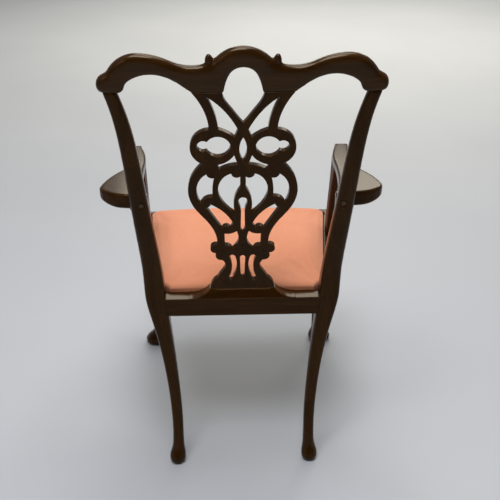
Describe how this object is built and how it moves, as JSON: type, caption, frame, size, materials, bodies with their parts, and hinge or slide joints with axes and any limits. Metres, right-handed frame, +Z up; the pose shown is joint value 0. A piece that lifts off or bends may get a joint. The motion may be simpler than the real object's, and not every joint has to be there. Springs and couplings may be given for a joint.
{
  "type": "armchair",
  "caption": "Open wooden armchair with a serpentine crest, a pierced splat back, shaped arms, curved legs and a padded drop-in seat.",
  "frame": {"origin": "on the floor, under the middle of the chair's overall width and depth", "axes": "+X to the sitter's left, +Y to the rear (the sitter faces -Y), +Z up"},
  "size_m": [0.591, 0.5881, 0.976],
  "materials": {
    "mahogany": "polished, dark red-brown",
    "beech": "planed, unfinished",
    "pale_plug": "end grain, waxed",
    "screw_steel": "dulled",
    "tack_steel": "blued",
    "seat_cloth": "plain weave",
    "stuffing": "cotton felt",
    "hessian": "coarse open weave",
    "webbing": "herringbone weave",
    "dust_cloth": "thin plain weave"
  },
  "bodies": {
    "chair_frame": {"left_back_post": "mahogany", "right_back_post": "mahogany", "crest_rail": "mahogany", "splat": "mahogany", "splat_shoe": "mahogany", "rear_seat_rail": "mahogany", "front_seat_rail": "mahogany", "left_side_rail": "mahogany", "right_side_rail": "mahogany", "left_front_leg": "mahogany", "right_front_leg": "mahogany", "left_arm": "mahogany", "right_arm": "mahogany", "left_arm_post": "mahogany", "right_arm_post": "mahogany", "rear_left_corner_block": "beech", "rear_right_corner_block": "beech", "front_left_corner_block": "beech", "front_right_corner_block": "beech", "corner_block_screws": "screw_steel", "arm_screws": "screw_steel", "arm_post_screws": "screw_steel", "arm_screw_plugs": "pale_plug"},
    "drop_in_seat": {"seat_frame_front": "beech", "seat_frame_back": "beech", "seat_frame_left": "beech", "seat_frame_right": "beech", "seat_webbing": "webbing", "seat_hessian": "hessian", "seat_pad": "stuffing", "seat_cover": "seat_cloth", "seat_dust_cloth": "dust_cloth", "seat_tacks": "tack_steel"}
  },
  "joints": [
    {"name": "seat_lift", "type": "slide", "parent": "chair_frame", "child": "drop_in_seat", "axis": [0, 0, 1], "range_m": [0, 0.12]}
  ]
}
